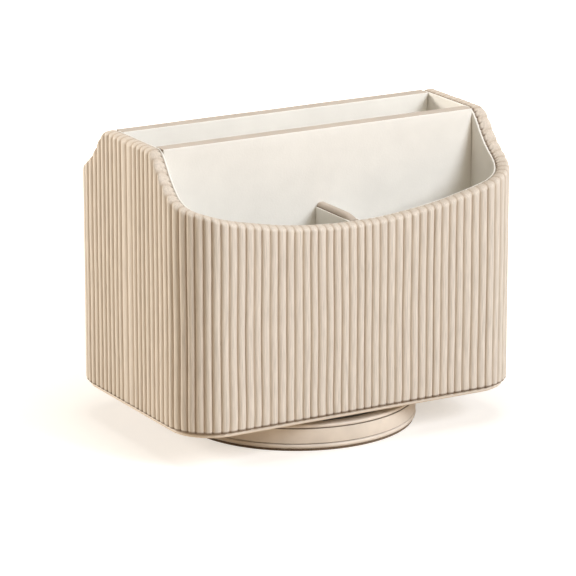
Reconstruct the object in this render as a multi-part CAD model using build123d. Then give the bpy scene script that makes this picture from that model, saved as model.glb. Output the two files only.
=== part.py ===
"""Rotating remote control holder.

A leather covered tub with five compartments turns on a round base through a ball bearing.
The frame stands on the table: origin under the middle of the base, +X along the width,
-Y towards the front, +Z up.  Lengths are in millimetres, angles in degrees.
"""
import os
from math import cos, pi, sin

from build123d import *

# Tub, over the rib crests
overall_width = 200.0
overall_depth = 135.0
overall_height = 161.5
corner_radius = 25.0
crease_height = 20.5

# Layers of the wall, from the outside to the inside
rib_pitch = 4.65
rib_depth = 1.1
rib_foot_lip = 0.3
rib_foot_margin = 0.1
cover_thickness = 1.0
wall_board_thickness = 5.0
lining_thickness = 1.0
glue_gap = 0.1
seam_gap = 0.1

# Rim of the wall: low in the middle of the front, flat along the slot
rim_low_height = 120.5
rim_corner_rise = 15.0
rim_sweep_power = 2.3
rim_top_round = 5.0
rim_leather = 1.0
rim_skirt = 1.3
rim_setback = 0.5
rim_outer_round = 2.4
rib_end_drop = 1.0
lining_edge_drop = 0.5
rim_columns = 31
rim_rows = 61

# Tall slot across the middle
slot_width = 35.4
partition_thickness = 6.0
partition_drop = 0.4
partition_edge_height = 0.6
partition_edge_round = 0.4

# Low divider of the front and of the rear compartment
divider_height = 120.5
divider_thickness = 5.0
divider_edge_height = 3.2
divider_edge_round = 2.4

# Floor of the tub
floor_board_thickness = 5.0
floor_pad_thickness = 1.0
bottom_panel_thickness = 2.4
bottom_panel_setback = 2.2
bottom_panel_round = 1.0

# Round base
base_diameter = 126.4
base_height = 14.2
foot_thickness = 1.2
foot_setback = 0.9
welt_diameter = 2.5
welt_proud = 0.2
band_bottom_height = 3.9
band_top_height = 12.2
band_thickness = 1.0
top_roll_width = 2.4
top_roll_round = 0.7
top_cover_thickness = 0.8
top_cover_drop = 0.4

# Turntable bearing, half sunk into the base
bearing_recess_depth = 4.3
bearing_recess_clearance = 0.5
ball_circle_diameter = 84.0
ball_diameter = 5.0
ball_count = 12
ball_clearance = 0.15
ring_gap = 1.2
ring_width = 6.5
ring_end_gap = 0.8
flange_width = 6.0
flange_thickness = 2.0

# Screws of the bearing rings
screw_count = 4
screw_diameter = 3.0
screw_head_diameter = 5.0
screw_head_height = 1.3
screw_head_chamfer = 0.5
screw_clearance = 0.05
base_screw_length = 6.0
tub_screw_length = 7.5

# Room that a cutting shape runs past what it cuts
overrun = 2.0

# Places worked out from the sizes above: layers of the wall
half_width = overall_width / 2
half_depth = overall_depth / 2
half_seam = seam_gap / 2
cover_inset = rib_depth + cover_thickness
rib_foot_round = cover_inset + rib_foot_margin - rib_foot_lip
board_inset = cover_inset + glue_gap
board_back_inset = board_inset + wall_board_thickness
lining_inset = board_back_inset + glue_gap
inside_inset = lining_inset + lining_thickness
inner_half_width = half_width - inside_inset
inner_half_depth = half_depth - inside_inset
fitted_half_width = inner_half_width - glue_gap

# Slot, dividers and floor
slot_half = slot_width / 2
partition_front = slot_half + lining_thickness + glue_gap
partition_back = partition_front + partition_thickness
partition_middle = (partition_front + partition_back) / 2
partition_face = partition_back + glue_gap + lining_thickness
partition_edge_top = overall_height - partition_drop
partition_edge_bottom = partition_edge_top - partition_edge_height
divider_half = divider_thickness / 2
divider_face = divider_half + glue_gap + lining_thickness
divider_edge_bottom = divider_height - divider_edge_height
rim_side_rise = overall_height - rim_low_height - rim_corner_rise
rim_run = inner_half_depth - partition_face
rim_top_slope = rim_sweep_power * rim_side_rise / rim_run
rim_blend = rim_top_round * rim_top_slope ** 2 / 2
wall_bottom = crease_height + glue_gap
floor_top = wall_bottom + floor_board_thickness
pad_bottom = floor_top + glue_gap
pad_top = pad_bottom + floor_pad_thickness
panel_bottom = crease_height - bottom_panel_thickness

# Base and bearing
base_radius = base_diameter / 2
disc_radius = base_radius - band_thickness - glue_gap
disc_bottom = foot_thickness + glue_gap
top_cover_top = base_height - top_cover_drop
top_cover_bottom = top_cover_top - top_cover_thickness
top_roll_inner = base_radius - top_roll_width
welt_radius = welt_diameter / 2
welt_circle_radius = base_radius + welt_proud - welt_radius
recess_floor = base_height - bearing_recess_depth
race_bottom = recess_floor + glue_gap
race_top = panel_bottom - glue_gap
ball_circle_radius = ball_circle_diameter / 2
ball_height = (race_bottom + race_top) / 2
outer_ring_bore = ball_circle_radius + ring_gap / 2
outer_ring_radius = outer_ring_bore + ring_width
outer_flange_radius = outer_ring_radius + flange_width
inner_ring_radius = ball_circle_radius - ring_gap / 2
inner_ring_bore = inner_ring_radius - ring_width
inner_flange_bore = inner_ring_bore - flange_width
recess_radius = outer_flange_radius + bearing_recess_clearance
base_screw_circle = (outer_ring_radius + outer_flange_radius) / 2
tub_screw_circle = (inner_ring_bore + inner_flange_bore) / 2
base_screw_seat = race_bottom + flange_thickness
tub_screw_seat = race_top - flange_thickness


def wall_plan(inset):
    """Rounded plan of the tub, drawn in from the rib crests."""
    return RectangleRounded(overall_width - 2 * inset, overall_depth - 2 * inset, corner_radius - inset)


def front_part(plan, back_edge):
    """The part of a plan that lies in front of y = -back_edge."""
    window = Pos(0, -back_edge - half_depth) * Rectangle(overall_width + overrun, overall_depth)
    return plan & window


def front_ring(outer_inset, inner_inset, back_edge):
    """Plan of one layer of the front wall."""
    return front_part(wall_plan(outer_inset) - wall_plan(inner_inset), back_edge)


def slab(plan, bottom, top):
    """A plan raised to a solid between two heights."""
    return extrude(Pos(0, 0, bottom) * plan, amount=top - bottom)


def block(x_limits, y_limits, z_limits):
    """A plain board between three pairs of limits."""
    limits = (x_limits, y_limits, z_limits)
    size = [high - low for low, high in limits]
    middle = [(high + low) / 2 for low, high in limits]
    return Pos(*middle) * Box(*size)


def ring(bore, radius, bottom, top):
    """A flat ring about the axis between two heights."""
    return slab(Circle(radius) - Circle(bore), bottom, top)


def turned_round(shape):
    """The like piece of the rear half: the front one turned half a turn about the axis."""
    return Rot(0, 0, 180) * shape


def rim_height(x, y):
    """Crown of the front rim: a parabola over the width and a power curve over the depth, with a flat top."""
    across = rim_corner_rise * (x / inner_half_width) ** 2
    run_share = max(y + inner_half_depth, 0) / rim_run
    slope = rim_low_height + across + rim_side_rise * run_share ** rim_sweep_power
    near_share = max(rim_blend - abs(slope - overall_height), 0) / rim_blend
    return min(slope, overall_height) - near_share ** 2 * rim_blend / 4


def above_rim(drop):
    """Everything above the rim surface of the front half, lowered by drop."""
    x_step = (overall_width + 2 * overrun) / (rim_columns - 1)
    y_step = (half_depth + 2 * overrun) / (rim_rows - 1)
    x_places = [column * x_step - half_width - overrun for column in range(rim_columns)]
    y_places = [line * y_step - half_depth - overrun for line in range(rim_rows)]
    points = [[Vector(x, y, rim_height(x, y) - drop) for y in y_places] for x in x_places]
    surface = Face.make_surface_from_array_of_points(points)
    return extrude(surface, amount=overall_height, dir=(0, 0, 1))


def wall_lengths():
    """Lengths of the side, the corner and the front of the front half, along the rib valleys."""
    side = half_depth - corner_radius - half_seam
    corner = (corner_radius - rib_depth) * pi / 2
    front = overall_width - 2 * corner_radius
    return side, corner, front


def wall_point(distance, inset):
    """A point of the front half of the plan, at a distance along the valleys from the right seam."""
    side, corner, front = wall_lengths()
    total = 2 * side + 2 * corner + front
    walked = min(distance, total - distance)
    centre_x = half_width - corner_radius
    centre_y = corner_radius - half_depth
    reach = corner_radius - inset
    if walked < side:
        x, y = centre_x + reach, -half_seam - walked
    elif walked < side + corner:
        turn = (walked - side) / (corner_radius - rib_depth)
        x, y = centre_x + reach * cos(turn), centre_y - reach * sin(turn)
    else:
        x, y = centre_x - (walked - side - corner), centre_y - reach
    if distance > total / 2:
        x = -x
    return (x, y)


def ribbed_plan():
    """Plan of the front cover: round ribs side by side on the outside, smooth on the inside."""
    side, corner, front = wall_lengths()
    total = 2 * side + 2 * corner + front
    rib_count = round(total / rib_pitch)
    step = total / rib_count
    ribs = []
    for rib in range(rib_count):
        start = wall_point(rib * step, rib_depth)
        crest = wall_point((rib + 1 / 2) * step, 0)
        end = wall_point((rib + 1) * step, rib_depth)
        ribs.append(ThreePointArc(start, crest, end))
    seam = Line(wall_point(total, rib_depth), wall_point(0, rib_depth))
    return make_face(Curve() + ribs + [seam]) - wall_plan(cover_inset)


def rounded_block():
    """Block as wide as the crests, whose rounded lower edge is where the ribs turn in at the crease."""
    tub = slab(wall_plan(-rib_foot_margin), wall_bottom, overall_height)
    return fillet(tub.edges().group_by(Axis.Z)[0], rib_foot_round)


def is_outer_edge(edge):
    """Whether an edge of the rim runs along the outside of the wall."""
    middle = edge.position_at(1 / 2)
    wall_middle = wall_plan((rim_setback + board_back_inset) / 2).face()
    return middle.Y < -seam_gap and not wall_middle.is_inside((middle.X, middle.Y, 0))


def make_cover():
    """Ribbed cover of the front half, with its edge turned over the top of the wall board."""
    ribs = slab(ribbed_plan(), wall_bottom, overall_height) & rounded_block()
    ribs = ribs - above_rim(rib_end_drop)
    roll = slab(front_ring(rim_setback, board_back_inset, half_seam), wall_bottom, overall_height + overrun)
    roll = roll - above_rim(0)
    crown = roll.faces().filter_by(GeomType.BSPLINE).sort_by(SortBy.AREA)[-1]
    outer_edges = [edge for edge in crown.edges() if is_outer_edge(edge)]
    roll = fillet(outer_edges, rim_outer_round) & above_rim(rim_skirt)
    board_room = slab(front_ring(cover_inset, lining_inset, 0), wall_bottom, overall_height + overrun)
    return ribs + (roll - (board_room - above_rim(rim_leather)))


def make_wall_board():
    """Bent board of the front half, between the cover and the lining."""
    board = slab(front_ring(board_inset, board_back_inset, half_seam), wall_bottom, overall_height)
    return board - above_rim(rim_leather + glue_gap)


def make_lining():
    """Lining of the front compartment, whose top edge shows beside the turned edge of the cover."""
    plan = front_ring(lining_inset, inside_inset, partition_middle + glue_gap)
    return slab(plan, pad_bottom, overall_height) - above_rim(lining_edge_drop)


def make_slot_lining():
    """Lining at the right end of the slot."""
    return block(
        (inner_half_width, half_width - lining_inset),
        (-partition_middle, partition_middle),
        (pad_bottom, overall_height - lining_edge_drop),
    )


def make_partition(nearest, farthest, top):
    """One upright layer of the front slot wall, between two distances from the axis."""
    return block((-fitted_half_width, fitted_half_width), (-farthest, -nearest), (pad_bottom, top))


def make_partition_edge():
    """Bound top edge of the front slot wall."""
    edge = block(
        (-fitted_half_width, fitted_half_width),
        (-partition_face, -slot_half),
        (partition_edge_bottom, partition_edge_top),
    )
    return fillet(edge.edges().filter_by(Axis.X).group_by(Axis.Z)[-1], partition_edge_round)


def make_divider(left, right, bottom, top):
    """One layer of the front divider, from the front lining back to the slot wall."""
    return block((left, right), (glue_gap - inner_half_depth, -partition_face - glue_gap), (bottom, top))


def make_divider_edge():
    """Bound, well rounded top edge of the front divider."""
    edge = make_divider(-divider_face, divider_face, divider_edge_bottom, divider_height)
    return fillet(edge.edges().filter_by(Axis.Y).group_by(Axis.Z)[-1], divider_edge_round)


def make_low_pad(left, right):
    """Floor pad of one low compartment at the front."""
    plan = front_part(wall_plan(inside_inset + glue_gap), partition_face + glue_gap)
    window = Pos((left + right) / 2, 0) * Rectangle(right - left, overall_depth)
    return slab(plan & window, pad_bottom, pad_top)


def make_slot_pad():
    """Floor pad of the slot."""
    width_limit = slot_half - glue_gap
    return block((-fitted_half_width, fitted_half_width), (-width_limit, width_limit), (pad_bottom, pad_top))


def on_circle(shape, radius, count):
    """Like pieces round the axis, the first one half a step from +X."""
    places = PolarLocations(radius, count, start_angle=180 / count)
    return Part() + [place * shape for place in places]


def screw_holes(circle, bottom, top):
    """Holes for the four screws of one bearing ring."""
    hole = Circle(screw_diameter / 2 + screw_clearance)
    return on_circle(slab(hole, bottom, top), circle, screw_count)


def make_screw(length):
    """Cheese head screw, standing on the seat of its head at height zero."""
    head = slab(Circle(screw_head_diameter / 2), 0, screw_head_height)
    head = chamfer(head.edges().sort_by(Axis.Z)[-1], screw_head_chamfer)
    return head + slab(Circle(screw_diameter / 2), -length, 0)


def make_floor_board():
    """Floor board between the walls, with blind holes for the bearing screws."""
    board = slab(wall_plan(lining_inset), wall_bottom, floor_top)
    return board - screw_holes(tub_screw_circle, panel_bottom, tub_screw_seat + tub_screw_length + glue_gap)


def make_bottom_panel():
    """Covered panel under the tub, whose rolled edge shows below the ribs."""
    panel = slab(wall_plan(bottom_panel_setback), panel_bottom, crease_height)
    rims = panel.edges().filter_by(Axis.Z, reverse=True)
    return fillet(rims, bottom_panel_round) - screw_holes(tub_screw_circle, race_top, floor_top)


def make_base_disc():
    """Round board of the base, stepped for its edge trims and sunk for the bearing."""
    disc = slab(Circle(disc_radius), disc_bottom, top_cover_bottom - glue_gap)
    welt_step = welt_circle_radius - welt_radius - glue_gap
    disc = disc - ring(welt_step, base_radius, disc_bottom, band_bottom_height)
    disc = disc - ring(top_roll_inner - glue_gap, base_radius, band_top_height, base_height)
    disc = disc - slab(Circle(recess_radius), recess_floor, base_height)
    return disc - screw_holes(base_screw_circle, base_screw_seat - base_screw_length - glue_gap, base_height)


def make_top_roll():
    """Rolled leather edge at the top of the base, rounded on the outside."""
    roll = ring(top_roll_inner, base_radius, band_top_height + glue_gap, base_height)
    circles = roll.edges().filter_by(GeomType.CIRCLE)
    return fillet([circle for circle in circles if circle.radius > disc_radius], top_roll_round)


def make_welt():
    """Piping round the lower edge of the base."""
    return Pos(0, 0, disc_bottom + welt_radius) * Torus(welt_circle_radius, welt_radius)


def ball_groove():
    """Round groove that the balls run in."""
    return Pos(0, 0, ball_height) * Torus(ball_circle_radius, ball_diameter / 2 + ball_clearance)


def make_outer_ring():
    """Fixed bearing ring, screwed into the recess of the base."""
    race = ring(outer_ring_bore, outer_ring_radius, race_bottom, panel_bottom - ring_end_gap)
    flange = ring(outer_ring_bore, outer_flange_radius, race_bottom, base_screw_seat)
    return race + flange - ball_groove() - screw_holes(base_screw_circle, recess_floor, base_height)


def make_inner_ring():
    """Turning bearing ring, screwed under the tub."""
    race = ring(inner_ring_bore, inner_ring_radius, recess_floor + ring_end_gap, race_top)
    flange = ring(inner_flange_bore, inner_ring_radius, tub_screw_seat, race_top)
    return race + flange - ball_groove() - screw_holes(tub_screw_circle, recess_floor, panel_bottom)


def make_balls():
    """Steel balls between the two rings."""
    ball = Pos(0, 0, ball_height) * Sphere(ball_diameter / 2)
    return on_circle(ball, ball_circle_radius, ball_count)


def base_pieces():
    """Pieces that stand on the table, by name."""
    top_cover_edge = top_roll_inner - glue_gap
    band_bottom = band_bottom_height + glue_gap
    screw = Pos(0, 0, base_screw_seat) * make_screw(base_screw_length)
    return {
        "base_foot": slab(Circle(base_radius - foot_setback), 0, foot_thickness),
        "base_disc": make_base_disc(),
        "base_band": ring(disc_radius + glue_gap, base_radius, band_bottom, band_top_height),
        "base_welt": make_welt(),
        "base_top_roll": make_top_roll(),
        "base_top_cover": ring(recess_radius, top_cover_edge, top_cover_bottom, top_cover_top),
        "bearing_outer_ring": make_outer_ring(),
        "base_screws": on_circle(screw, base_screw_circle, screw_count),
    }


def tub_pieces():
    """Pieces in the middle of the tub, by name."""
    screw = Pos(0, 0, tub_screw_seat) * Rot(180, 0, 0) * make_screw(tub_screw_length)
    slot_lining = make_slot_lining()
    return {
        "bearing_inner_ring": make_inner_ring(),
        "tub_screws": on_circle(screw, tub_screw_circle, screw_count),
        "bottom_panel": make_bottom_panel(),
        "floor_board": make_floor_board(),
        "slot_pad": make_slot_pad(),
        "right_slot_lining": slot_lining,
        "left_slot_lining": turned_round(slot_lining),
    }


def half_pieces():
    """Pieces of the front half of the tub; the rear half has the same ones, turned round."""
    layer_top = partition_edge_bottom - glue_gap
    divider_top = divider_edge_bottom - glue_gap
    lining_edge = divider_half + glue_gap
    pad_edge = divider_face + glue_gap
    return {
        "cover": make_cover(),
        "wall_board": make_wall_board(),
        "lining": make_lining(),
        "partition": make_partition(partition_front, partition_back, layer_top),
        "partition_face": make_partition(partition_back + glue_gap, partition_face, layer_top),
        "partition_back": make_partition(slot_half, slot_half + lining_thickness, layer_top),
        "partition_edge": make_partition_edge(),
        "divider": make_divider(-divider_half, divider_half, pad_bottom, divider_top),
        "divider_left": make_divider(-divider_face, -lining_edge, pad_bottom, divider_top),
        "divider_right": make_divider(lining_edge, divider_face, pad_bottom, divider_top),
        "divider_edge": make_divider_edge(),
        "left_pad": make_low_pad(-half_width, -pad_edge),
        "right_pad": make_low_pad(pad_edge, half_width),
    }


def all_pieces():
    """Every piece of the holder, by the name of its node."""
    pieces = base_pieces() | {"bearing_balls": make_balls()} | tub_pieces()
    for name, shape in half_pieces().items():
        pieces["front_" + name] = shape
        pieces["rear_" + name] = turned_round(shape)
    return pieces


os.makedirs("parts", exist_ok=True)
for name, shape in all_pieces().items():
    export_step(shape, "parts/" + name + ".step")
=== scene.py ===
"""Looks of a rotating remote control holder, laid out as an add-on.

A tub covered in ribbed leather and lined in cream turns on a round base. Lengths are in metres.
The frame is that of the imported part: origin under the middle of the base, -Y towards the front.
"""

from math import cos, pi, radians, sin

import bpy
import numpy as np
from bpy.props import FloatProperty, FloatVectorProperty, IntProperty, PointerProperty
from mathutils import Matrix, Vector


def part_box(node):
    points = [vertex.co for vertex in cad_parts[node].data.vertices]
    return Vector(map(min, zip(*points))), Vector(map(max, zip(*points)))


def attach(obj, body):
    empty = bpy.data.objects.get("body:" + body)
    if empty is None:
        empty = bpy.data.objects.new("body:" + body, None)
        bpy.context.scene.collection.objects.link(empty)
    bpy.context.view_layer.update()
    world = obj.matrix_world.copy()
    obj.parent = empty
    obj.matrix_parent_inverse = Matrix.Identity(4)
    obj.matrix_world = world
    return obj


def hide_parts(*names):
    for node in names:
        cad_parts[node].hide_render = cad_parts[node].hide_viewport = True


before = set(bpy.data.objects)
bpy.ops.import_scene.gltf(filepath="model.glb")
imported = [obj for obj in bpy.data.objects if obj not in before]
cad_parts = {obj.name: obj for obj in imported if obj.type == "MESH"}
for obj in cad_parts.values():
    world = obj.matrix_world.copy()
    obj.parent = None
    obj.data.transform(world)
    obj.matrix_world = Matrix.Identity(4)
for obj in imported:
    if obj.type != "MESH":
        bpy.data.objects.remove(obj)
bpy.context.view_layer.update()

bl_info = {
    "name": "Rotating remote control holder",
    "version": (1, 0, 0),
    "blender": (4, 5, 0),
    "location": "View3D > Sidebar > Holder",
    "description": "Dresses the solids of a leather covered remote control holder",
    "category": "Object",
}

# Sizes of the solids that the pieces are fitted to
cover_low, cover_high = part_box("front_cover")
half_width = cover_high.x
half_depth = -cover_low.y
wall_bottom = cover_low.z
rim_top = cover_high.z
inner_half_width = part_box("right_slot_lining")[0].x
wall_thickness = half_width - inner_half_width
inner_half_depth = half_depth - wall_thickness
board_inset = half_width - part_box("front_wall_board")[1].x
lining_low, lining_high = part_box("front_lining")
lining_inset = half_width - lining_high.x
lining_drop = rim_top - lining_high.z
partition_face = -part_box("front_partition_face")[0].y

# The halves of the tub and the way each faces: the rear is the front turned round
halves = {"front": 1, "rear": -1}

# Height of the waves in soft faces, and the share of a lining's thickness that rolls at its edges
soft_wave = 0.00012
edge_share = 0.4

# Axes of the frame
x_axis, y_axis, z_axis = 0, 1, 2

# Angle between two faces from which their edge stays sharp
sharp_angle = radians(50)

# Size of the leather's grain, the usual lows and highs of a noise, and sockets of a colour mix
leather_cell = 0.0007
noise_span = (0.3, 0.7)
mix_share, mix_start, mix_end, mix_result = 0, 6, 7, 2


class CoverSettings(bpy.types.PropertyGroup):
    """Sizes of the ribbed cover and its rim."""

    corner_radius: FloatProperty(
        name="Corner radius", default=0.025, unit="LENGTH",
        description="Plan radius of the tub's corners over the rib crests",
    )
    rib_pitch: FloatProperty(
        name="Rib pitch", default=0.00465, unit="LENGTH",
        description="Mean distance between two rib crests",
    )
    rib_depth: FloatProperty(
        name="Rib depth", default=0.0011, unit="LENGTH",
        description="Depth of the grooves between the ribs",
    )
    rib_unevenness: FloatProperty(
        name="Rib unevenness", default=0.075, subtype="FACTOR",
        description="Share by which the ribs differ in width and depth",
    )
    rib_wander: FloatProperty(
        name="Rib wander", default=0.0002, unit="LENGTH",
        description="How far a rib strays sideways on its way up",
    )
    seed: IntProperty(name="Seed", description="Start of the random widths of the ribs", default=7)
    rim_low: FloatProperty(
        name="Rim height", default=0.1205, unit="LENGTH",
        description="Height of the rim in the middle of the front",
    )
    corner_rise: FloatProperty(
        name="Corner rise", default=0.015, unit="LENGTH",
        description="How much higher the rim is at the corners",
    )
    sweep_power: FloatProperty(
        name="Sweep power", description="How late the rim rises along the sides", default=2.3
    )
    top_round: FloatProperty(
        name="Top round", default=0.005, unit="LENGTH",
        description="Radius between the side slope and the flat top",
    )
    foot_height: FloatProperty(
        name="Foot height", default=0.0016, unit="LENGTH",
        description="Height over which the ribs turn in at the crease",
    )
    outer_round: FloatProperty(
        name="Outer rim round", default=0.0029, unit="LENGTH",
        description="Radius of the rim on the outside",
    )
    inner_round: FloatProperty(
        name="Inner rim round", default=0.0012, unit="LENGTH",
        description="Radius of the rim on the inside",
    )
    pleat_pitch: FloatProperty(
        name="Pleat pitch", default=0.0022, unit="LENGTH",
        description="Distance between the small pleats along the inner edge of the rim",
    )
    pleat_depth: FloatProperty(
        name="Pleat depth", default=0.0005, unit="LENGTH",
        description="Depth of the small pleats along the inner edge of the rim",
    )
    leather: FloatProperty(
        name="Leather thickness", default=0.00104, unit="LENGTH",
        description="Thickness of the leather over the board",
    )


class EdgeSettings(bpy.types.PropertyGroup):
    """Sizes of the bound edges of the slot walls and the dividers."""

    partition_rise: FloatProperty(
        name="Slot wall rise", default=0.00055, unit="LENGTH",
        description="How far the lining of a slot wall reaches up beside its bound edge",
    )
    partition_tuck: FloatProperty(
        name="Slot wall tuck", default=0.00035, unit="LENGTH",
        description="How far the bound edge of a slot wall stands back from the lining",
    )
    partition_round: FloatProperty(
        name="Slot wall round", default=0.0004, unit="LENGTH",
        description="Radius along the top of the bound edge of a slot wall",
    )
    divider_round: FloatProperty(
        name="Divider round", default=0.0022, unit="LENGTH",
        description="Radius along the top of the bound edge of a divider",
    )
    divider_lift: FloatProperty(
        name="Divider lift", default=0.0018, unit="LENGTH",
        description="How far the leather on a divider is padded up",
    )
    divider_rise: FloatProperty(
        name="Divider rise", default=0.0029, unit="LENGTH",
        description="How far the lining of a divider reaches up beside its bound edge",
    )
    divider_tuck: FloatProperty(
        name="Divider tuck", default=0.0008, unit="LENGTH",
        description="How far the bound edge of a divider stands back from the lining",
    )
    end_run: FloatProperty(
        name="End run", default=0.009, unit="LENGTH",
        description="Length over which the bound edge of a divider comes down to the rim",
    )


class FinishSettings(bpy.types.PropertyGroup):
    """Colours of the materials, linear."""

    rib_colour: FloatVectorProperty(
        name="Rib leather", subtype="COLOR", default=(0.73, 0.662, 0.577),
        description="Leather on the crests of the ribs",
    )
    # Painted shade: the groove colour stands for dirt in the grooves and for the shade that falls
    # in them
    groove_dirt_and_shade_colour: FloatVectorProperty(
        name="Groove leather", subtype="COLOR", default=(0.41, 0.285, 0.175),
        description="Leather at the bottom of the grooves",
    )
    # Painted shade: the crease colour darkens the creases, the small pleats and the seams where
    # shade falls
    crease_shade_colour: FloatVectorProperty(
        name="Crease leather", subtype="COLOR", default=(0.13, 0.08, 0.045),
        description="Leather in the creases and the small pleats",
    )
    trim_colour: FloatVectorProperty(
        name="Trim leather", subtype="COLOR", default=(0.52, 0.445, 0.37),
        description="Smooth leather of the bound edges",
    )
    base_colour: FloatVectorProperty(
        name="Base leather", subtype="COLOR", default=(0.82, 0.725, 0.615),
        description="Smooth leather of the base and the bottom panel",
    )
    lining_colour: FloatVectorProperty(
        name="Lining", subtype="COLOR", default=(0.89, 0.865, 0.805),
        description="Cream lining of the compartments",
    )
    board_colour: FloatVectorProperty(
        name="Board", subtype="COLOR", default=(0.33, 0.22, 0.13),
        description="Fibre board inside the walls",
    )
    # Partly painted shade: the foot is dark felt, made as dark as the contact shade under the base
    foot_felt_and_shade_colour: FloatVectorProperty(
        name="Foot", subtype="COLOR", default=(0.2, 0.145, 0.1),
        description="Soft foot under the base",
    )
    aluminium_colour: FloatVectorProperty(
        name="Aluminium", subtype="COLOR", default=(0.42, 0.39, 0.36),
        description="Rings of the bearing",
    )
    steel_colour: FloatVectorProperty(
        name="Steel", description="Balls and screws", subtype="COLOR", default=(0.62, 0.62, 0.63)
    )


class StageSettings(bpy.types.PropertyGroup):
    """Camera and light."""

    azimuth: FloatProperty(
        name="Azimuth", default=radians(-29.872), subtype="ANGLE",
        description="Turn of the camera about the holder",
    )
    elevation: FloatProperty(
        name="Elevation", default=radians(15.912), subtype="ANGLE",
        description="Angle of the camera above the table",
    )
    distance: FloatProperty(
        name="Distance", default=1.91472, unit="LENGTH",
        description="Distance of the camera from its aim",
    )
    aim_height: FloatProperty(
        name="Aim height", default=0.06958, unit="LENGTH",
        description="Height of the point that the camera looks at",
    )
    lens: FloatProperty(name="Lens", description="Focal length in millimetres", default=227.4)
    shift: FloatProperty(
        name="Shift", description="Sideways shift of the picture", default=-0.01434
    )
    floor_size: FloatProperty(
        name="Floor size", description="Side of the square floor", default=12.0, unit="LENGTH"
    )
    floor_colour: FloatVectorProperty(
        name="Floor", subtype="COLOR", default=(0.6, 0.6, 0.6),
        description="Floor as the camera sees it under the lamps",
    )
    bounce_colour: FloatVectorProperty(
        name="Floor bounce", subtype="COLOR", default=(0.6, 0.52, 0.43),
        description="Floor as it gives light back to the holder",
    )
    glow_colour: FloatVectorProperty(
        name="Floor glow colour", subtype="COLOR", default=(1, 0.95, 0.88),
        description="Colour of the light that only the camera and reflections see on the floor",
    )
    floor_glow: FloatProperty(
        name="Floor glow", default=0.55,
        description="Light that only the camera and reflections see on the floor by the holder",
    )
    clear_distance: FloatProperty(
        name="Clear distance", default=0.4, unit="LENGTH",
        description="Distance from the holder's middle at which the camera sees a white floor",
    )
    clear_glow: FloatProperty(
        name="Clear glow", default=1.15,
        description="The same light from the clear distance on",
    )
    ambient: FloatProperty(
        name="Ambient light", description="Strength of the light from all round", default=0.23
    )
    ambient_colour: FloatVectorProperty(
        name="Ambient colour", subtype="COLOR", default=(1, 0.78, 0.52),
        description="Colour of the light from all round",
    )


def noise_waves(along, up, seed, wavelength):
    """Smooth unevenness between about -1 and 1: a sum of products of sine waves along two ways."""
    waves, shortest, longest = 4, 0.6, 1.5
    random = np.random.default_rng(seed)
    total = np.zeros(np.broadcast(along, up).shape)
    for _ in range(waves):
        length = wavelength * random.uniform(shortest, longest)
        phases = random.uniform(0, 2 * pi, 2)
        along_wave = np.sin(2 * pi * along / length + phases[0])
        total = total + along_wave * np.sin(2 * pi * up / length + phases[1])
    return total / np.sqrt(waves)


def rim_height(x, y, cover):
    """Crown of the front rim: a parabola over the width plus a power curve over the depth.

    It ends in a flat top, and a second parabola rounds the corner between the two.
    """
    run = inner_half_depth - partition_face
    run_share = np.clip(y + inner_half_depth, 0, None) / run
    side_rise = rim_top - cover.rim_low - cover.corner_rise
    across = cover.corner_rise * (x / inner_half_width) ** 2
    slope = cover.rim_low + across + side_rise * run_share ** cover.sweep_power
    blend = cover.top_round * (cover.sweep_power * side_rise / run) ** 2 / 2
    near_share = np.clip(blend - np.abs(slope - rim_top), 0, None) / blend
    return np.minimum(slope, rim_top) - near_share ** 2 * blend / 4


def wall_length(radius):
    """Length of the front half of the plan along the crests, from the right seam to the left."""
    return 2 * (half_depth - radius) + pi * radius + 2 * (half_width - radius)


def wall_point(walk, inset, radius):
    """Point of the front half of the plan: straight side, quarter circle, front, and mirrored.

    The walk starts at the right seam, and the inset is measured inwards from the crests.
    """
    total = wall_length(radius)
    walked = np.minimum(walk, total - walk)
    mirror = np.where(walk > total / 2, -1.0, 1.0)
    side = half_depth - radius
    turn = np.clip((walked - side) / radius, 0, pi / 2)
    reach = radius - inset
    along_front = np.clip(walked - side - radius * pi / 2, 0, None)
    x = half_width - radius + reach * np.cos(turn) - along_front
    y = -side - reach * np.sin(turn) + np.clip(side - walked, 0, None)
    return mirror * x, y


def triangles_of(quads, caps):
    """Corner indices of the triangles that faces split into: two for a quad and a fan for a cap."""
    fans = [np.stack([np.full(len(cap) - 2, cap[0]), cap[1:-1], cap[2:]], axis=1) for cap in caps]
    return np.concatenate([quads[:, [0, 1, 2]], quads[:, [0, 2, 3]], *fans])


def make_mesh(name, points, quads, caps=()):
    """A closed mesh from points, four-cornered faces and end caps.

    It is turned so that its volume, the sum of its triangles' triple products, is positive.
    """
    corners = points[triangles_of(quads, caps)]
    volume = np.einsum("ij,ij->i", corners[:, 0], np.cross(corners[:, 1], corners[:, 2])).sum()
    if volume < 0:
        quads, caps = quads[:, ::-1], [cap[::-1] for cap in caps]
    mesh = bpy.data.meshes.new(name)
    mesh.from_pydata(points.tolist(), [], quads.tolist() + [cap.tolist() for cap in caps])
    mesh.validate()
    mesh.shade_smooth()
    mesh.set_sharp_from_angle(angle=sharp_angle)
    return mesh


def grid_faces(columns, rows, wrap_columns, wrap_rows):
    """Four-cornered faces of a grid of points, wrapped round in either direction."""
    column, row = np.meshgrid(
        np.arange(columns if wrap_columns else columns - 1),
        np.arange(rows if wrap_rows else rows - 1),
        indexing="ij",
    )
    next_column, next_row = (column + 1) % columns, (row + 1) % rows
    corners = [(column, row), (next_column, row), (next_column, next_row), (column, next_row)]
    return np.stack([(c * rows + r).ravel() for c, r in corners], axis=1)


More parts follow.
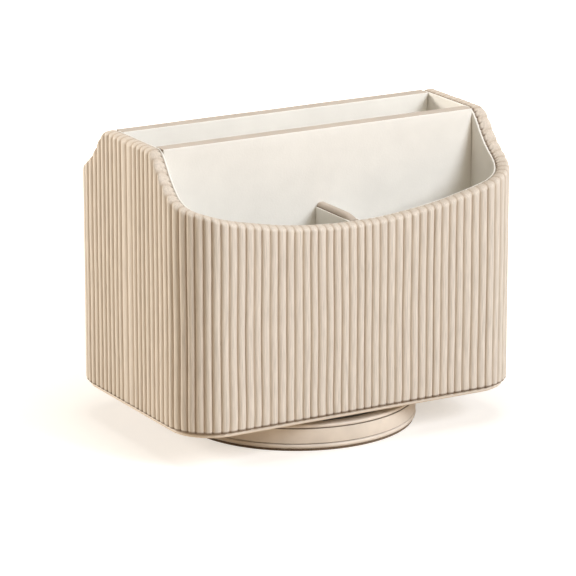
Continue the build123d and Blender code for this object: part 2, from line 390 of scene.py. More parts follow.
def tube_mesh(name, grid):
    """A section carried along a path: the grid wraps round the section, and its ends are capped."""
    columns, rows = grid.shape[:2]
    first = np.arange(rows)
    caps = [first[::-1], first + (columns - 1) * rows]
    return make_mesh(name, grid.reshape(-1, 3), grid_faces(columns, rows, False, True), caps)


def ring_mesh(name, grid):
    """A section carried round a closed path: the grid wraps in both directions."""
    columns, rows = grid.shape[:2]
    return make_mesh(name, grid.reshape(-1, 3), grid_faces(columns, rows, True, True))


def plate_mesh(name, grid):
    """An edge section carried round a closed path, with a flat face closing each of its ends."""
    columns, rows = grid.shape[:2]
    first = np.arange(columns) * rows
    caps = [first, (first + rows - 1)[::-1]]
    return make_mesh(name, grid.reshape(-1, 3), grid_faces(columns, rows, True, False), caps)


def sheet_mesh(name, front, back):
    """Two grids joined along their four edges into one closed sheet."""
    columns, rows = front.shape[:2]
    count = columns * rows
    index = np.arange(count).reshape(columns, rows)
    face = grid_faces(columns, rows, False, False)
    border = np.concatenate([index[:-1, 0], index[-1, :-1], index[:0:-1, -1], index[0, :0:-1]])
    following = np.roll(border, -1)
    sides = np.stack([following, border, border + count, following + count], axis=1)
    points = np.concatenate([front.reshape(-1, 3), back.reshape(-1, 3)])
    return make_mesh(name, points, np.concatenate([face, face[:, ::-1] + count, sides]))


def add_piece(name, mesh, body, nodes, material):
    """Puts a mesh into the scene as a piece that rides on a body and stands for its CAD nodes."""
    piece = bpy.data.objects.new(name, mesh)
    bpy.context.scene.collection.objects.link(piece)
    mesh.materials.append(material)
    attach(piece, body)
    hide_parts(*nodes)


def set_point_values(mesh, name, values):
    """Stores one number per point on a mesh, for a material to read."""
    layer = mesh.attributes.new(name, "FLOAT", "POINT")
    layer.data.foreach_set("value", np.ascontiguousarray(values, dtype=np.float32).ravel())


def add_node(material, kind, **inputs):
    """Adds a shader node and sets its inputs by name."""
    node = material.node_tree.nodes.new(kind)
    for socket, value in inputs.items():
        node.inputs[socket.replace("_", " ")].default_value = value
    return node


def link(material, start, start_socket, end, end_socket):
    """Joins an output of one shader node to an input of another."""
    material.node_tree.links.new(start.outputs[start_socket], end.inputs[end_socket])


def new_material(name, colour, roughness, specular):
    """A material of one principled shader with its plain values set."""
    material = bpy.data.materials.new(name)
    material.use_nodes = True
    shader = material.node_tree.nodes["Principled BSDF"]
    shader.inputs["Base Color"].default_value = (*colour, 1)
    shader.inputs["Roughness"].default_value = roughness
    shader.inputs["Specular IOR Level"].default_value = specular
    return material, shader


def add_noise(material, stretch, scale, detail):
    """Noise over object coordinates, stretched by a factor for each axis."""
    place = add_node(material, "ShaderNodeTexCoord")
    mapping = add_node(material, "ShaderNodeMapping", Scale=stretch)
    noise = add_node(material, "ShaderNodeTexNoise", Scale=scale, Detail=detail)
    link(material, place, "Object", mapping, "Vector")
    link(material, mapping, "Vector", noise, "Vector")
    return noise


def add_grain(material, cell):
    """Leather grain: the distance to the nearest point of a cell pattern of the given size."""
    place = add_node(material, "ShaderNodeTexCoord")
    grain = add_node(material, "ShaderNodeTexVoronoi", Scale=1 / cell)
    link(material, place, "Object", grain, "Vector")
    return grain


def add_mix(material, end_colour):
    """A node that mixes a second colour in."""
    mix = add_node(material, "ShaderNodeMix")
    mix.data_type = "RGBA"
    mix.inputs[mix_end].default_value = (*end_colour, 1)
    return mix


def add_tint(material, start, start_socket, attribute, colour):
    """Mixes a second colour in where an attribute of the mesh is high."""
    share = add_node(material, "ShaderNodeAttribute")
    share.attribute_name = attribute
    mix = add_mix(material, colour)
    link(material, share, "Fac", mix, mix_share)
    link(material, start, start_socket, mix, mix_start)
    return mix


def add_bump(material, carrier, height, strength, distance):
    """Relief from a height node on the normal of a shader, or of the relief that lies over it."""
    bump = add_node(material, "ShaderNodeBump", Strength=strength, Distance=distance)
    link(material, height, 0, bump, "Height")
    link(material, bump, "Normal", carrier, "Normal")
    return bump


def toned_material(name, colour, roughness, specular, scale, detail, tones, stretch=(1, 1, 1)):
    """A material whose tones, a darkest and a lightest share of a colour, follow a noise."""
    material, shader = new_material(name, colour, roughness, specular)
    noise = add_noise(material, stretch, scale, detail)
    ramp = add_node(material, "ShaderNodeValToRGB")
    for index, (position, share) in enumerate(zip(noise_span, tones)):
        tone = ramp.color_ramp.elements[index]
        tone.position = position
        tone.color = (*(min(channel * share, 1.0) for channel in colour), 1)
    link(material, noise, "Fac", ramp, "Fac")
    link(material, ramp, "Color", shader, "Base Color")
    return material, shader, noise, ramp


def ribbed_leather(name, finish):
    """Beige leather with faint upright streaks, browner in the grooves from dirt and painted shade,
    with a fine grain.
    """
    material, shader, streaks, toned = toned_material(
        name, finish.rib_colour, roughness=0.55, specular=0.3,
        scale=1600, detail=4, tones=(0.85, 1.13), stretch=(1, 1, 0.05),
    )
    # Dirt and painted shade in the grooves, and painted shade on the rim top
    grooved = add_tint(material, toned, "Color", "groove", finish.groove_dirt_and_shade_colour)
    # Painted shade in the creases and the small pleats
    creased = add_tint(material, grooved, mix_result, "crease", finish.crease_shade_colour)
    link(material, creased, mix_result, shader, "Base Color")
    relief = add_bump(material, shader, streaks, strength=0.3, distance=0.0002)
    grain = add_grain(material, cell=leather_cell)
    add_bump(material, relief, grain, strength=0.25, distance=0.00012)
    return material


def smooth_leather(name, finish, colour):
    """Smooth beige leather with soft patches, a fine grain and painted shade in its seams."""
    material, shader, _, toned = toned_material(
        name, colour, roughness=0.5, specular=0.35, scale=90, detail=5, tones=(0.93, 1.05)
    )
    # Painted shade where the crease attribute is high
    creased = add_tint(material, toned, "Color", "crease", finish.crease_shade_colour)
    link(material, creased, mix_result, shader, "Base Color")
    grain = add_grain(material, cell=leather_cell)
    add_bump(material, shader, grain, strength=0.2, distance=0.0001)
    return material


def cream_lining(name, colour):
    """Cream lining with barely seen patches and a pebbled grain."""
    material, shader, _, _ = toned_material(
        name, colour, roughness=0.6, specular=0.25, scale=60, detail=4, tones=(0.965, 1.02)
    )
    grain = add_grain(material, cell=0.0009)
    add_bump(material, shader, grain, strength=0.3, distance=0.00012)
    return material


def fibre_board(name, colour):
    """Pressed fibre board, speckled light and dark."""
    material, _, _, _ = toned_material(
        name, colour, roughness=0.85, specular=0.2, scale=900, detail=6, tones=(0.7, 1.25)
    )
    return material


def bare_metal(name, colour, roughness, scale):
    """Bare metal whose tone follows a fine noise."""
    material, shader, _, _ = toned_material(
        name, colour, roughness, specular=0.5,
        scale=scale, detail=3, tones=(0.9, 1.05), stretch=(1, 1, 0.2),
    )
    shader.inputs["Metallic"].default_value = 1.0
    return material


def foot_felt(name, colour):
    """Felted foot, rough and speckled, dark as felt and darkened further as painted contact shade
    under the base.
    """
    material, shader, fibres, _ = toned_material(
        name, colour, roughness=0.95, specular=0.1, scale=2500, detail=5, tones=(0.6, 1.5)
    )
    add_bump(material, shader, fibres, strength=0.5, distance=0.0002)
    return material


def shared_material(name, make, *values, **plain_values):
    """A material by name, made on its first use."""
    return bpy.data.materials.get(name) or make(name, *values, **plain_values)


def rib_columns(cover, seed):
    """Walk, phase and depth share of each column: ribs of uneven width, each cut into equal steps.

    The two end ribs, at the seams, are wider and shallower.
    """
    seam_gap, steps = 0.00005, 16
    end_width, end_depth, depth_unevenness = 1.25, 0.7, 1.5
    random = np.random.default_rng(seed)
    total = wall_length(cover.corner_radius) - 2 * seam_gap
    count = round(total / cover.rib_pitch)
    widths = 1 + cover.rib_unevenness * random.uniform(-1, 1, count)
    widths[[0, -1]] *= end_width
    edges = np.concatenate([[0], np.cumsum(widths)]) * total / widths.sum()
    phase = np.append(np.tile(np.arange(steps) / steps, count), 1.0)
    rib = np.append(np.repeat(np.arange(count), steps), count - 1)
    depths = 1 + depth_unevenness * cover.rib_unevenness * random.uniform(-1, 1, count)
    depths[[0, -1]] *= end_depth
    walk = seam_gap + edges[rib] + phase * (edges[rib + 1] - edges[rib])
    return walk, phase, depths[rib]


def section_rows(
    inset, share=1, lift=0, drop=0, facing=0, ribbing=0, pleating=0, lines=0, painted_shade=0, crease=0
):
    """Rows of one stretch of the cover's section, each value one for all rows or one for each.

    They are the inset, the share of the way from the foot to the rim, the lift above the foot, the
    drop below the crown, the way the row faces (0 is outwards, a quarter turn is up), how much of
    the ribs and of the pleats shows, how strong the dirt and painted shade in the grooves is, how
    much painted shade lies on the row, and how deep the row lies in a crease, which darkens it with
    painted shade.
    """
    values = (inset, share, lift, drop, facing, ribbing, pleating, lines, painted_shade, crease)
    return [value + 0 * inset for value in values]


def cover_section(cover):
    """The cover's section, from the crease up the wall, over the rim and down behind the leather.

    Its foot and the two sides of its rim are quarter circles, and its crown is a low sine arch.
    """
    foot_reach, crown_bulge = 0.0016, 0.0002
    foot_ribbing, crown_ribbing = 0.35, 0.18
    # Strengths of the groove tint, dirt and painted shade, on the wall and on the rest of the
    # section
    wall_lines, other_lines = 0.56, 0.5
    # Painted shade on the rim top, and painted shade in the crease at the rim's inner edge
    rim_painted_shade, edge_crease = 0.2, 0.6
    quarter = np.linspace(0, pi / 2, 8)
    foot, turn = quarter[:-1], quarter[1:]
    wall = np.linspace(0, 1, 20)
    crown = np.linspace(0, 1, 8)[1:]
    edge_gap, back_gap = cover.leather / 10, cover.leather / 20
    edge_inset = lining_inset - edge_gap
    crown_end = edge_inset - cover.inner_round
    back_inset = board_inset - back_gap
    fade = np.sin(turn)
    stretches = [
        section_rows(
            foot_reach * (1 - np.sin(foot)),
            share=0, lift=cover.foot_height * (1 - np.cos(foot)),
            ribbing=foot_ribbing + (1 - foot_ribbing) * np.sin(foot),
            # The crease at the foot takes painted shade
            lines=other_lines, crease=np.sqrt(np.cos(foot)),
        ),
        section_rows(
            0 * wall,
            share=wall, lift=cover.foot_height, drop=cover.outer_round, ribbing=1, lines=wall_lines,
        ),
        section_rows(
            cover.outer_round * (1 - np.cos(turn)),
            drop=cover.outer_round * (1 - np.sin(turn)), facing=turn,
            ribbing=1 - (1 - crown_ribbing) * fade, lines=other_lines, painted_shade=rim_painted_shade * fade,
        ),
        section_rows(
            cover.outer_round + crown * (crown_end - cover.outer_round),
            drop=-crown_bulge * np.sin(pi * crown), facing=pi / 2, ribbing=crown_ribbing,
            pleating=np.clip(2 * crown - 1, 0, 1) ** 2, lines=other_lines, painted_shade=rim_painted_shade,
        ),
        section_rows(
            crown_end + cover.inner_round * np.sin(turn),
            drop=cover.inner_round * (1 - np.cos(turn)), facing=pi / 2 + turn,
            ribbing=crown_ribbing, pleating=1,
            lines=other_lines, painted_shade=rim_painted_shade, crease=edge_crease * np.sin(turn),
        ),
        section_rows(
            np.array([edge_inset, back_inset, back_inset, back_inset]),
            share=np.array([1, 1, 1, 0]), drop=cover.leather * np.array([1, 1, 2, 0]),
        ),
    ]
    return [np.concatenate(column) for column in zip(*stretches)]


def cover_grid(cover, seed):
    """Points, groove shares (dirt and painted shade) and crease shares (painted shade) of one
    cover: the section carried along the plan.

    Between two creases a rib falls away as a power of the distance from its crest. Its depth fades
    over the rim, the more so where the rim is steep, and its line strays by a sum of sine waves.
    The pleats of the inner edge are narrow cosine peaks.
    """
    rib_power, groove_power, crease_power, pleat_power = 2.5, 1.5, 6, 3
    # Strengths of the painted shade at the bottom of the grooves and in the pleats
    rib_crease, pleat_crease = 0.2, 0.8
    pleat_mean, pleat_change = 0.8, 0.5
    noise_level, pleat_wavelength, stray_wavelength, rim_wavelength = 0.02, 0.011, 0.09, 0.03
    radius = cover.corner_radius
    walk, phase, depth = rib_columns(cover, seed)
    section = cover_section(cover)
    inset, share, lift, drop, facing, ribbing, pleating, lines, painted_shade, seam = section
    rim = rim_height(*wall_point(walk, 0, radius), cover)
    steepness = np.abs(np.gradient(rim, walk))[:, None]
    walk, phase, depth = walk[:, None], phase[:, None], depth[:, None]

    sink = np.abs(2 * phase - 1) ** rib_power
    calm = 1 - steepness / (1 + steepness) * np.clip(facing / (pi / 2), 0, 1)
    uneven = noise_waves(walk, noise_level, seed + 3, pleat_wavelength)
    fold = np.clip(np.cos(2 * pi * walk / cover.pleat_pitch + uneven), 0, 1) ** pleat_power
    pleat = fold * np.clip(pleat_mean + pleat_change * uneven, 0, 1) * pleating
    press = cover.rib_depth * depth * sink * ribbing * calm + cover.pleat_depth * pleat

    from_seam = np.minimum(walk, wall_length(radius) - walk) / (2 * cover.rib_pitch)
    height = share * (cover.rim_low - wall_bottom)
    stray = noise_waves(walk, height, seed + 1, stray_wavelength) * (share > 0)
    strayed = walk + cover.rib_wander * np.clip(from_seam, 0, 1) * stray
    x, y = wall_point(strayed, inset + press * np.cos(facing), radius)
    rim_wave = soft_wave * noise_waves(walk, noise_level, seed + 2, rim_wavelength)
    crown = rim_height(x, y, cover) - drop + rim_wave - press * np.sin(facing)
    z = (1 - share) * (wall_bottom + lift) + share * crown

    lines = lines * calm
    # Groove tint: dirt and painted shade, strongest at the bottom of each groove, plus the painted
    # shade of the rim
    groove = np.clip(sink ** groove_power * lines + painted_shade, 0, 1)
    # Painted shade in the deepest groove lines, in the pleats and in the creases of the section
    rib_line = rib_crease * sink ** crease_power * lines
    crease = np.clip(rib_line + pleat_crease * pleat + seam, 0, 1)
    return np.stack([x, y, z], axis=2), groove, crease


class HOLDER_OT_ribbed_covers(bpy.types.Operator):
    """Makes the two ribbed leather covers with their edges turned over the rim."""

    bl_idname = "holder.ribbed_covers"
    bl_label = "Ribbed covers"

    def execute(self, context):
        seed_step = 10
        cover = context.scene.holder_cover
        material = shared_material("ribbed_hide", ribbed_leather, context.scene.holder_finish)
        for offset, (half, way) in enumerate(halves.items()):
            name = half + "_ribbed_cover"
            grid, groove, crease = cover_grid(cover, cover.seed + seed_step * offset)
            mesh = tube_mesh(name, grid * (way, way, 1))
            set_point_values(mesh, "groove", groove)
            set_point_values(mesh, "crease", crease)
            add_piece(name, mesh, "tub", [half + "_cover"], material)
        return {"FINISHED"}


def lining_grid(cover, seed):
    """Lining of the front compartment: an upright sheet inside the wall, rolled over at its top.

    The inner face swells and sinks by a sum of sine waves, and the top follows the rim.
    """
    wave_height, wavelength = 0.1, 0.06
    radius = cover.corner_radius
    start = -lining_high.y
    walk = np.linspace(start, wall_length(radius) - start, 180)[:, None]
    up = np.linspace(0, 1, 14)
    roll = np.linspace(0, pi, 7)
    half_thickness = (wall_thickness - lining_inset) / 2
    rolled = lining_inset + half_thickness * (1 + np.cos(roll))
    inset = np.concatenate([wall_thickness + 0 * up, rolled, [lining_inset]])
    share = np.concatenate([up, 1 + 0 * roll, [0]])
    top = np.concatenate([0 * up, half_thickness * np.sin(roll), [0]])
    swell = np.concatenate([np.sqrt(np.sin(pi * up)), 0 * roll, [0]])
    wave = soft_wave * swell * noise_waves(walk, wave_height * share, seed, wavelength)
    x, y = wall_point(walk, inset + wave, radius)
    lowered = lining_drop + half_thickness
    z = lining_low.z + share * (rim_height(x, y, cover) - lowered - lining_low.z) + top
    return np.stack([x, y, z], axis=2)


def lining_sink(across, along, to_edge, thickness, seed):
    """Depth of a soft face below its plane: quarter circles at its edges, and sine waves inside."""
    wavelength, wave_fade = 0.05, 0.01
    edge = edge_share * thickness
    roll = edge * (1 - np.sqrt(1 - (1 - np.clip(to_edge / edge, 0, 1)) ** 2))
    wave = soft_wave * np.abs(noise_waves(across, along, seed, wavelength))
    return roll + wave * np.clip(to_edge / wave_fade, 0, 1)


def panel_mesh(name, low, high, face_axis, face_way, seed):
    """A lining panel: a box of which one face swells and sinks, and rolls back along its edges.

    The face is a grid over the other two axes, with more stations near its edges.
    """
    low, high = np.array(low), np.array(high)
    size = high - low
    first, second = [axis for axis in range(3) if axis != face_axis]
    edge = edge_share * size[face_axis]
    near = edge * np.array([0, 0.08, 0.3, 0.65, 1])
    stations = []
    for axis in (first, second):
        middle = np.linspace(edge, size[axis] - edge, 24)[1:-1]
        stations.append(np.concatenate([near, middle, size[axis] - near[::-1]]))
    across, along = np.meshgrid(*stations, indexing="ij")
    to_edge = np.minimum.reduce([across, size[first] - across, along, size[second] - along])
    sink = lining_sink(across, along, to_edge, size[face_axis], seed)
    front = np.zeros((*across.shape, 3))
    front[..., first] = low[first] + across
    front[..., second] = low[second] + along
    back = front.copy()
    near_side, far_side = (high, low) if face_way > 0 else (low, high)
    front[..., face_axis] = near_side[face_axis] - face_way * sink
    back[..., face_axis] = far_side[face_axis]
    return sheet_mesh(name, front, back)


def pad_mesh(name, half_way, right, cover, seed):
    """Floor pad of a low compartment: straight at the divider and the slot, round at the corner.

    Its front edge is a straight line that ends in a quarter circle, and its top rolls down along
    its edges.
    """
    low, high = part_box("front_right_pad" if right else "front_left_pad")
    inner, outer = sorted((abs(low.x), abs(high.x)))
    radius = cover.corner_radius - (half_width - outer)
    turn = np.linspace(0, pi / 2, 16)[1:]
    straight = np.linspace(inner, outer - radius, 16)
    across = np.concatenate([straight, outer - radius * (1 - np.sin(turn))])[:, None]
    start = low.y + np.concatenate([0 * straight, radius * (1 - np.cos(turn))])[:, None]
    near = np.array([0, 0.004, 0.02])
    share = np.concatenate([near, np.linspace(0.05, 0.95, 16), 1 - near[::-1]])
    x = across + 0 * share
    y = start + share * (high.y - start)
    to_edge = np.minimum.reduce([y - start, high.y - y, x - inner, outer - x])
    sink = lining_sink(x, y, to_edge, high.z - low.z, seed)
    side_way = half_way if right else -half_way
    top = np.stack([side_way * x, half_way * y, high.z - sink], axis=2)
    bottom = np.stack([side_way * x, half_way * y, low.z + 0 * x], axis=2)
    return sheet_mesh(name, top, bottom)


class HOLDER_OT_linings(bpy.types.Operator):
    """Makes the cream linings of the walls, the slot, the dividers and the floors."""

    bl_idname = "holder.linings"
    bl_label = "Cream linings"

    def execute(self, context):
        cover = context.scene.holder_cover
        edge = context.scene.holder_edge
        colour = context.scene.holder_finish.lining_colour
        material = shared_material("cream_lining", cream_lining, colour)

        def add(name, mesh, node):
            """Puts one lining into the scene."""
            add_piece(name, mesh, "tub", [node], material)

        def add_panel(node, face_axis, face_way, seed, rise=0.0):
            """Puts one flat lining into the scene, raised beside a bound edge."""
            low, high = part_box(node)
            high.z += rise
            name = node + "_cream"
            add(name, panel_mesh(name, low, high, face_axis, face_way, seed), node)

        for half, way in halves.items():
            name = half + "_wall_cream"
            grid = lining_grid(cover, seed=31)
            add(name, tube_mesh(name, grid * (way, way, 1)), half + "_lining")
            add_panel(half + "_partition_face", y_axis, -way, seed=32, rise=edge.partition_rise)
            add_panel(half + "_partition_back", y_axis, way, seed=33, rise=edge.partition_rise)
            add_panel(half + "_divider_left", x_axis, -way, seed=34, rise=edge.divider_rise)
            add_panel(half + "_divider_right", x_axis, way, seed=35, rise=edge.divider_rise)
            for side in ("left", "right"):
                node = half + "_" + side + "_pad"
                name = node + "_cream"
                add(name, pad_mesh(name, way, side == "right", cover, seed=36), node)
        add_panel("right_slot_lining", x_axis, -1, seed=37)
        add_panel("left_slot_lining", x_axis, 1, seed=38)
        add_panel("slot_pad", z_axis, 1, seed=39)
        return {"FINISHED"}


def bound_edge_mesh(name, low, high, along_axis, top_round, end=0.0, run=1.0, fall=0.0):
    """Bound edge of a board: a bar with a round top and a flat bottom, carried along one axis.

    The section runs up one side, over two quarter circles with a flat top between them, and down
    again. Sine waves make the top uneven, and a parabola over the last run lowers it to its end.
    """
    edge_wave, wavelength, seed = 0.00008, 0.05, 41
    seam_fade = 0.27
    low, high = np.array(low), np.array(high)
    across_axis = y_axis if along_axis == x_axis else x_axis
    width, tall = high[across_axis] - low[across_axis], high[z_axis] - low[z_axis]
    along = np.linspace(low[along_axis], high[along_axis], 90)[:, None]
    turn = np.linspace(0, pi / 2, 8)
    flat = np.linspace(0, 1, 6)[1:-1]
    rounded = top_round * (1 - np.cos(turn))
    shoulder = tall - top_round * (1 - np.sin(turn))
    middle = top_round + flat * (width - 2 * top_round)
    side = np.concatenate([[0], rounded, middle, width - rounded[::-1], [width]])
    rise = np.concatenate([[0], shoulder, tall + 0 * flat, shoulder[::-1], [0]])
    wave = edge_wave * noise_waves(along, side, seed, wavelength)
    lowered = fall * np.clip(1 - np.abs(along - end) / run, 0, 1) ** 2
    grid = np.zeros((len(along), len(side), 3))
    grid[..., along_axis] = along
    grid[..., across_axis] = low[across_axis] + side
    grid[..., z_axis] = low[z_axis] + rise + (wave - lowered) * (rise > 0)
    mesh = tube_mesh(name, grid)
    # Painted shade along the lower sides, where the bound edge meets the lining
    seam = np.clip(1 - (rise - tall + top_round) / (seam_fade * top_round), 0, 1)
    set_point_values(mesh, "crease", np.tile(seam, len(along)))
    return mesh


class HOLDER_OT_bound_edges(bpy.types.Operator):
    """Makes the leather bound top edges of the slot walls and the dividers."""

    bl_idname = "holder.bound_edges"
    bl_label = "Bound edges"

    def execute(self, context):
        finish = context.scene.holder_finish
        edge = context.scene.holder_edge
        material = shared_material("trim_leather", smooth_leather, finish, finish.trim_colour)
        for half, way in halves.items():
            node = half + "_partition_edge"
            name = node + "_leather"
            low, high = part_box(node)
            low.y, high.y = low.y + edge.partition_tuck, high.y - edge.partition_tuck
            mesh = bound_edge_mesh(name, low, high, x_axis, edge.partition_round)
            add_piece(name, mesh, "tub", [node], material)

            node = half + "_divider_edge"
            name = node + "_leather"
            low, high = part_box(node)
            low.x, high.x = low.x + edge.divider_tuck, high.x - edge.divider_tuck
            low.z, high.z = low.z + edge.divider_lift, high.z + edge.divider_lift
            end = low.y if way > 0 else high.y
            mesh = bound_edge_mesh(
                name, low, high, y_axis, edge.divider_round, end, edge.end_run, edge.divider_lift
            )
            add_piece(name, mesh, "tub", [node], material)
        return {"FINISHED"}


def panel_edge_grid(cover):
    """Edge of the bottom panel: a half round, slightly flattened, carried round the plan."""
    edge_bulge = 0.0012
    low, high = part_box("bottom_panel")
    setback = half_width - high.x
    radius = cover.corner_radius
    walk = np.linspace(0, wall_length(radius), 200)[:-1, None]
    turn = np.linspace(-pi / 2, pi / 2, 15)
    half_height = (high.z - low.z) / 2
    x, y = wall_point(walk, setback + edge_bulge * (1 - np.cos(turn)), radius)
    z = low.z + half_height * (1 + np.sin(turn)) + 0 * x
    front = np.stack([x, y, z], axis=2)
    return np.concatenate([front, front * (-1, -1, 1)])


class HOLDER_OT_bottom_panel(bpy.types.Operator):
    """Makes the leather covered panel under the tub, with its rolled edge."""

    bl_idname = "holder.bottom_panel"
    bl_label = "Bottom panel"

    def execute(self, context):
        finish = context.scene.holder_finish
        name = "bottom_panel_leather"
        mesh = plate_mesh(name, panel_edge_grid(context.scene.holder_cover))
        material = shared_material("base_leather", smooth_leather, finish, finish.base_colour)
        add_piece(name, mesh, "tub", ["bottom_panel"], material)
        return {"FINISHED"}


def round_section(low, high, corner, swell):
    """A section as a rounded rectangle: four quarter circles joined by straight lines.

    Its outside is swollen by a sine arch. Rows are a distance from the axis and a height,
    anticlockwise from the lower outer corner.
    """
    turn = np.linspace(0, pi / 2, 7)
    corners = []
    for index, (right, up) in enumerate(((1, 0), (1, 1), (0, 1), (0, 0))):
        angle = turn + (index - 1) * pi / 2
        across = high[0] - corner if right else low[0] + corner
        height = high[1] - corner if up else low[1] + corner
        arc = [across + corner * np.cos(angle), height + corner * np.sin(angle)]
        corners.append(np.stack(arc, axis=1))
    middle = np.linspace(0, 1, 7)[1:-1]
    swollen = high[0] + swell * np.sin(pi * middle)
    heights = low[1] + corner + middle * (high[1] - low[1] - 2 * corner)
    return np.concatenate([corners[0], np.stack([swollen, heights], axis=1), *corners[1:]])


def turned_mesh(name, section):
    """A section of distances and heights turned once round the upright axis."""
    angle = np.linspace(0, 2 * pi, 240, endpoint=False)[:, None]
    distance, height = section.T
    x, y = distance * np.cos(angle), distance * np.sin(angle)
    return ring_mesh(name, np.stack([x, y, height + 0 * angle], axis=2))


class HOLDER_OT_base_trims(bpy.types.Operator):
    """Makes the leather pieces of the base: its rolled top edge, side band, piping and top face."""

    bl_idname = "holder.base_trims"
    bl_label = "Base trims"

    def execute(self, context):
        finish = context.scene.holder_finish
        material = shared_material("base_leather", smooth_leather, finish, finish.base_colour)
        glue_gap, ring_room = 0.0001, 0.0005
        welt_low, welt_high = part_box("base_welt")
        roll_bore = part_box("base_top_cover")[1].x + glue_gap
        band_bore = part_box("base_disc")[1].x + glue_gap
        welt_bore = welt_high.x - (welt_high.z - welt_low.z)
        cover_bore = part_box("bearing_outer_ring")[1].x + ring_room
        # Node, bore, corner radius, swell of the outside, painted shade of the crease below and of
        # the crease above
        trims = [
            ("base_top_roll", roll_bore, 0.0008, 0.0, 1, 0),
            ("base_band", band_bore, 0.00042, 0.00018, 1, 1),
            ("base_welt", welt_bore, 0.00124, 0.0, 0, 0),
            ("base_top_cover", cover_bore, 0.0003, 0.0, 0, 0),
        ]
        for node, bore, corner, swell, crease_below, crease_above in trims:
            name = node + "_leather"
            low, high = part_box(node)
            section = round_section((bore, low.z), (high.x, high.z), corner, swell)
            mesh = turned_mesh(name, section)
            # Painted shade in the seams, darker the further the section turns in
            tucked = np.sqrt(np.clip((high.x - section[:, 0]) / corner, 0, 1))
            upper = section[:, 1] > (low.z + high.z) / 2
            crease = tucked * np.where(upper, crease_above, crease_below)
            turns = len(mesh.vertices) // len(section)
            set_point_values(mesh, "crease", np.tile(crease, turns))
            add_piece(name, mesh, "base", [node], material)
        return {"FINISHED"}


class HOLDER_OT_inner_works(bpy.types.Operator):
    """Finishes the solids that stay: boards, bearing, screws and foot."""

    bl_idname = "holder.inner_works"
    bl_label = "Inner works"

    def execute(self, context):
        finish = context.scene.holder_finish
        board = shared_material("fibre_board", fibre_board, finish.board_colour)
        aluminium = shared_material(
            "brushed_aluminium", bare_metal, finish.aluminium_colour, roughness=0.5, scale=700
        )
        steel = shared_material(
            "polished_steel", bare_metal, finish.steel_colour, roughness=0.2, scale=300
        )
        finishes = {
            "base_disc": board,
            "floor_board": board,
            "bearing_outer_ring": aluminium,
            "bearing_inner_ring": aluminium,
            "bearing_balls": steel,
            "base_screws": steel,
            "tub_screws": steel,
            "base_foot": shared_material("foot_felt", foot_felt, finish.foot_felt_and_shade_colour),
        }
        for half in halves:
            for node in ("wall_board", "partition", "divider"):
                finishes[half + "_" + node] = board
        for node, material in finishes.items():
            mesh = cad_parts[node].data
            mesh.materials.clear()
            mesh.materials.append(material)
        return {"FINISHED"}


def stage_piece(name, data):
    """Adds an object that belongs to the stage and not to the holder."""
    piece = bpy.data.objects.new(name, data)
    bpy.context.scene.collection.objects.link(piece)
    return piece


def add_seen(tree):
    """Socket that is 1 for rays of the camera, of gloss and through clear pieces, and else 0."""
    path = tree.nodes.new("ShaderNodeLightPath")
    seen = path.outputs["Is Camera Ray"]
    for kind in ("Is Glossy Ray", "Is Transmission Ray"):
        either = tree.nodes.new("ShaderNodeMath")
        either.operation = "MAXIMUM"
        tree.links.new(seen, either.inputs[0])
        tree.links.new(path.outputs[kind], either.inputs[1])
        seen = either.outputs[0]
    return seen


def floor_material(stage):
    """Pale floor that takes shadows, lifted to white for the camera and for reflections alone.

    The lift grows in a straight line with the distance from the holder, so that shadows show only
    beside it. The floor gives back a warmer light than the camera sees on it.
    """
    material, shader = new_material("white_floor", stage.floor_colour, roughness=0.9, specular=0.0)
    path = add_node(material, "ShaderNodeLightPath")
    colour = add_mix(material, stage.floor_colour)
    colour.inputs[mix_start].default_value = (*stage.bounce_colour, 1)
    link(material, path, "Is Camera Ray", colour, mix_share)
    link(material, colour, mix_result, shader, "Base Color")
    place = add_node(material, "ShaderNodeTexCoord")
    distance = add_node(material, "ShaderNodeVectorMath")
    distance.operation = "LENGTH"
    link(material, place, "Object", distance, 0)
    glow = add_node(
        material,
        "ShaderNodeMapRange",
        From_Min=half_width,
        From_Max=stage.clear_distance,
        To_Min=stage.floor_glow,
        To_Max=stage.clear_glow,
    )
    link(material, distance, "Value", glow, "Value")
    lift = add_node(material, "ShaderNodeMath")
    lift.operation = "MULTIPLY"
    material.node_tree.links.new(add_seen(material.node_tree), lift.inputs[0])
    link(material, glow, "Result", lift, 1)
    shader.inputs["Emission Color"].default_value = (*stage.glow_colour, 1)
    link(material, lift, 0, shader, "Emission Strength")
    return material


def add_floor(stage):
    """A square floor under the foot."""
    reach = stage.floor_size / 2
    mesh = bpy.data.meshes.new("floor")
    corners = [(-reach, -reach, 0), (reach, -reach, 0), (reach, reach, 0), (-reach, reach, 0)]
    mesh.from_pydata(corners, [], [(0, 1, 2, 3)])
    mesh.materials.append(floor_material(stage))
    stage_piece("floor", mesh)


def add_softbox(name, place, size, power, colour):
    """A square area lamp that faces the middle of the holder."""
    lamp = bpy.data.lights.new(name, "AREA")
    lamp.size = size
    lamp.energy = power
    lamp.color = colour
    piece = stage_piece(name, lamp)
    piece.location = place
    facing = Vector((0, 0, rim_top / 2)) - piece.location
    piece.rotation_euler = facing.to_track_quat("-Z", "Y").to_euler()


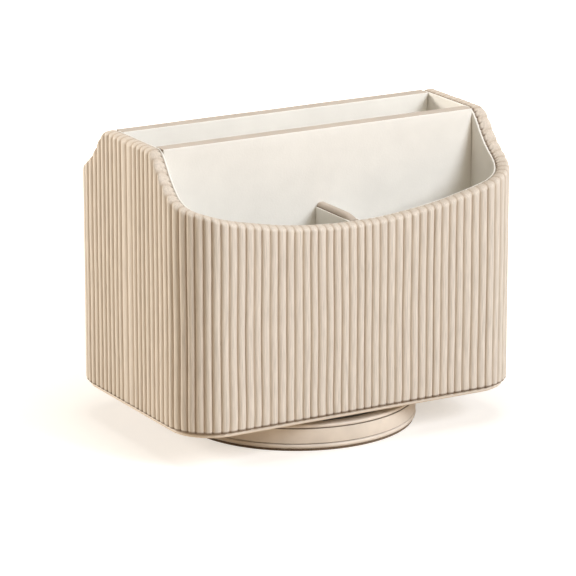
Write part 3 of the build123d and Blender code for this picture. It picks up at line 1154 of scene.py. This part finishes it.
def add_world(stage):
    """White surroundings: a dim even light, seen as white by the camera."""
    world = bpy.data.worlds.new("studio")
    world.use_nodes = True
    nodes, links = world.node_tree.nodes, world.node_tree.links
    around = nodes["Background"]
    around.inputs["Color"].default_value = (*stage.ambient_colour, 1)
    around.inputs["Strength"].default_value = stage.ambient
    behind = nodes.new("ShaderNodeBackground")
    behind.inputs["Color"].default_value = (1, 1, 1, 1)
    chosen = nodes.new("ShaderNodeMixShader")
    links.new(add_seen(world.node_tree), chosen.inputs["Fac"])
    links.new(around.outputs["Background"], chosen.inputs[1])
    links.new(behind.outputs["Background"], chosen.inputs[2])
    links.new(chosen.outputs["Shader"], nodes["World Output"].inputs["Surface"])
    bpy.context.scene.world = world


def add_camera(stage):
    """A long lens at the photographed angle."""
    lens = bpy.data.cameras.new("camera")
    lens.lens = stage.lens
    lens.sensor_width = 36
    lens.shift_x = stage.shift
    lens.clip_end = 100
    camera = stage_piece("camera", lens)
    flat = stage.distance * cos(stage.elevation)
    height = stage.distance * sin(stage.elevation)
    back = Vector((flat * sin(stage.azimuth), -flat * cos(stage.azimuth), height))
    camera.location = Vector((0, 0, stage.aim_height)) + back
    camera.rotation_euler = (-back).to_track_quat("-Z", "Y").to_euler()
    bpy.context.scene.camera = camera


class HOLDER_OT_stage(bpy.types.Operator):
    """Sets up the floor, the lamps and the camera."""

    bl_idname = "holder.stage"
    bl_label = "Stage"

    def execute(self, context):
        stage = context.scene.holder_stage
        add_floor(stage)
        add_world(stage)
        add_softbox(
            "key_softbox", place=(1.15, -1.95, 1.5), size=1.2, power=57, colour=(0.97, 1.02, 1.1)
        )
        add_softbox(
            "top_softbox", place=(0.0, -0.3, 2.4), size=1.2, power=18, colour=(1, 0.97, 0.92)
        )
        add_softbox(
            "left_softbox", place=(-1.65, 1.6, 0.9), size=0.6, power=50, colour=(1, 0.96, 0.91)
        )
        add_camera(stage)
        context.scene.view_settings.view_transform = "Standard"
        return {"FINISHED"}


operators = [
    HOLDER_OT_ribbed_covers,
    HOLDER_OT_linings,
    HOLDER_OT_bound_edges,
    HOLDER_OT_bottom_panel,
    HOLDER_OT_base_trims,
    HOLDER_OT_inner_works,
    HOLDER_OT_stage,
]


class HOLDER_PT_panel(bpy.types.Panel):
    """Lists the pieces of the holder."""

    bl_idname = "HOLDER_PT_panel"
    bl_label = "Remote control holder"
    bl_space_type = "VIEW_3D"
    bl_region_type = "UI"
    bl_category = "Holder"

    def draw(self, context):
        """Gives each operator a button."""
        for operator in operators:
            self.layout.operator(operator.bl_idname)


settings = {
    "holder_cover": CoverSettings,
    "holder_edge": EdgeSettings,
    "holder_finish": FinishSettings,
    "holder_stage": StageSettings,
}
classes = [*settings.values(), *operators, HOLDER_PT_panel]


def register():
    """Makes the classes known to Blender, and gives the scene their settings."""
    for item in classes:
        bpy.utils.register_class(item)
    for name, group in settings.items():
        setattr(bpy.types.Scene, name, PointerProperty(type=group))


def unregister():
    """Takes the settings and the classes out again."""
    for name in settings:
        delattr(bpy.types.Scene, name)
    for item in reversed(classes):
        bpy.utils.unregister_class(item)


def main():
    """Makes the pieces and the stage in order."""
    register()
    bpy.ops.holder.ribbed_covers()
    bpy.ops.holder.linings()
    bpy.ops.holder.bound_edges()
    bpy.ops.holder.bottom_panel()
    bpy.ops.holder.base_trims()
    bpy.ops.holder.inner_works()
    bpy.ops.holder.stage()


if __name__ == "__main__":
    main()
